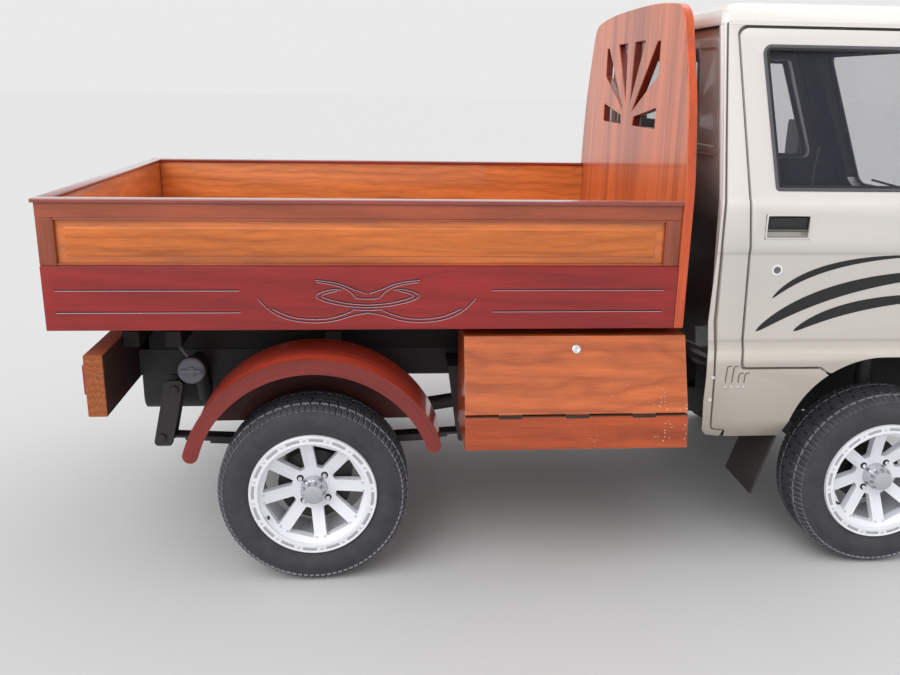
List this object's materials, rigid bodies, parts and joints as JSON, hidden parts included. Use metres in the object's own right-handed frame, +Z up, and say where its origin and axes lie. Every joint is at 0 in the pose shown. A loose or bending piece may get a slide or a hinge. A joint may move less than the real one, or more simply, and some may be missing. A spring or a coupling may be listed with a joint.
{
  "type": "small cab-over pickup truck",
  "caption": "Small cab-over pickup truck with a wooden panelled bed, drop tailgate, tall headboard with a sunburst cut-out, bent wood fenders and toolboxes under the bed.",
  "frame": {"origin": "on the ground, at the centre of the bounding box seen from above", "axes": "+X forward, +Y to the left, +Z up"},
  "size_m": [3.195, 1.664, 1.7799],
  "materials": {
    "chassis_black": "satin",
    "cab_paint": "gloss metallic",
    "glass": "clear",
    "tyre": "matt",
    "alloy": "satin",
    "black_trim": "matt",
    "wood": "gloss varnish",
    "timber_dark": "gloss varnish",
    "timber_box": "gloss varnish",
    "engine_iron": "rough",
    "exhaust_steel": "dull",
    "seat_cover": "matt",
    "rubber": "matt",
    "lamp_clear": "clear",
    "lamp_amber": "gloss",
    "lamp_red": "gloss",
    "plate_white": "satin"
  },
  "bodies": {
    "truck": {"bed_bearers": "timber_dark", "bed_floor": "wood", "bed_sides": "wood", "cab_back": "cab_paint", "cab_floor": "cab_paint", "cab_front": "cab_paint", "cab_quarters": "cab_paint", "cab_roof": "cab_paint", "cross_members": "chassis_black", "dashboard": "black_trim", "drivetrain": "engine_iron", "exhaust": "exhaust_steel", "frame_rails": "chassis_black", "front_bumper": "black_trim", "front_suspension": "chassis_black", "fuel_tank": "chassis_black", "grille": "black_trim", "headboard": "wood", "headlamps": "lamp_clear", "leaf_springs": "chassis_black", "mud_flaps": "rubber", "plates": "plate_white", "rear_axle": "chassis_black", "rear_bumper": "wood", "rear_fenders": "timber_dark", "rear_window": "glass", "seats": "seat_cover", "tail_lamps": "lamp_red", "toolboxes": "timber_box", "turn_lamps": "lamp_amber", "wheel_housings": "chassis_black", "windscreen": "glass"},
    "door_right": {"door_right": "cab_paint", "door_glass_right": "glass", "mirror_right": "black_trim"},
    "door_left": {"door_left": "cab_paint", "door_glass_left": "glass", "mirror_left": "black_trim"},
    "tailgate": {"tailgate": "wood"},
    "lid_right": {"toolbox_lid_right": "timber_box"},
    "lid_left": {"toolbox_lid_left": "timber_box"},
    "upright_right": {"knuckle_right": "chassis_black"},
    "upright_left": {"knuckle_left": "chassis_black"},
    "steering_wheel": {"steering_wheel": "black_trim"},
    "road_wheel_front_right": {"tyre_front_right": "tyre", "wheel_front_right": "alloy"},
    "road_wheel_front_left": {"tyre_front_left": "tyre", "wheel_front_left": "alloy"},
    "road_wheel_rear_right": {"tyre_rear_right": "tyre", "wheel_rear_right": "alloy"},
    "road_wheel_rear_left": {"tyre_rear_left": "tyre", "wheel_rear_left": "alloy"}
  },
  "joints": [
    {"name": "door_right_hinge", "type": "hinge", "parent": "truck", "child": "door_right", "pos_m": [1.321, -0.69, 1.1], "axis": [0, 0, 1], "range_deg": [0, 70]},
    {"name": "door_left_hinge", "type": "hinge", "parent": "truck", "child": "door_left", "pos_m": [1.321, 0.69, 1.1], "axis": [0, 0, -1], "range_deg": [0, 70]},
    {"name": "tailgate_hinge", "type": "hinge", "parent": "truck", "child": "tailgate", "pos_m": [-1.5895, 0, 0.815], "axis": [0, -1, 0], "range_deg": [0, 90]},
    {"name": "lid_right_hinge", "type": "hinge", "parent": "truck", "child": "lid_right", "pos_m": [-0.0415, -0.7765, 0.571], "axis": [1, 0, 0], "range_deg": [0, 95]},
    {"name": "lid_left_hinge", "type": "hinge", "parent": "truck", "child": "lid_left", "pos_m": [-0.0415, 0.7765, 0.571], "axis": [-1, 0, 0], "range_deg": [0, 95]},
    {"name": "steer_left", "type": "hinge", "parent": "truck", "child": "upright_left", "pos_m": [0.9995, 0.488, 0.295], "axis": [0, 0, 1], "range_deg": [-35, 35]},
    {"name": "steer_right", "type": "hinge", "parent": "truck", "child": "upright_right", "pos_m": [0.9995, -0.488, 0.295], "axis": [0, 0, 1], "range_deg": [-35, 35]},
    {"name": "steering_wheel_turn", "type": "hinge", "parent": "truck", "child": "steering_wheel", "pos_m": [1.205, -0.32, 1.085], "axis": [-0.6428, 0, 0.766], "range_deg": [-560, 560]},
    {"name": "spin_front_right", "type": "hinge", "parent": "upright_right", "child": "road_wheel_front_right", "pos_m": [0.9995, -0.6175, 0.295], "axis": [0, 1, 0], "continuous": true},
    {"name": "spin_front_left", "type": "hinge", "parent": "upright_left", "child": "road_wheel_front_left", "pos_m": [0.9995, 0.6175, 0.295], "axis": [0, 1, 0], "continuous": true},
    {"name": "spin_rear_right", "type": "hinge", "parent": "truck", "child": "road_wheel_rear_right", "pos_m": [-0.8405, -0.6375, 0.295], "axis": [0, 1, 0], "continuous": true},
    {"name": "spin_rear_left", "type": "hinge", "parent": "truck", "child": "road_wheel_rear_left", "pos_m": [-0.8405, 0.6375, 0.295], "axis": [0, 1, 0], "continuous": true}
  ],
  "couplings": [
    {"joint": "steer_right", "follows": "steer_left", "ratio": 1},
    {"joint": "steering_wheel_turn", "follows": "steer_left", "ratio": 16}
  ]
}
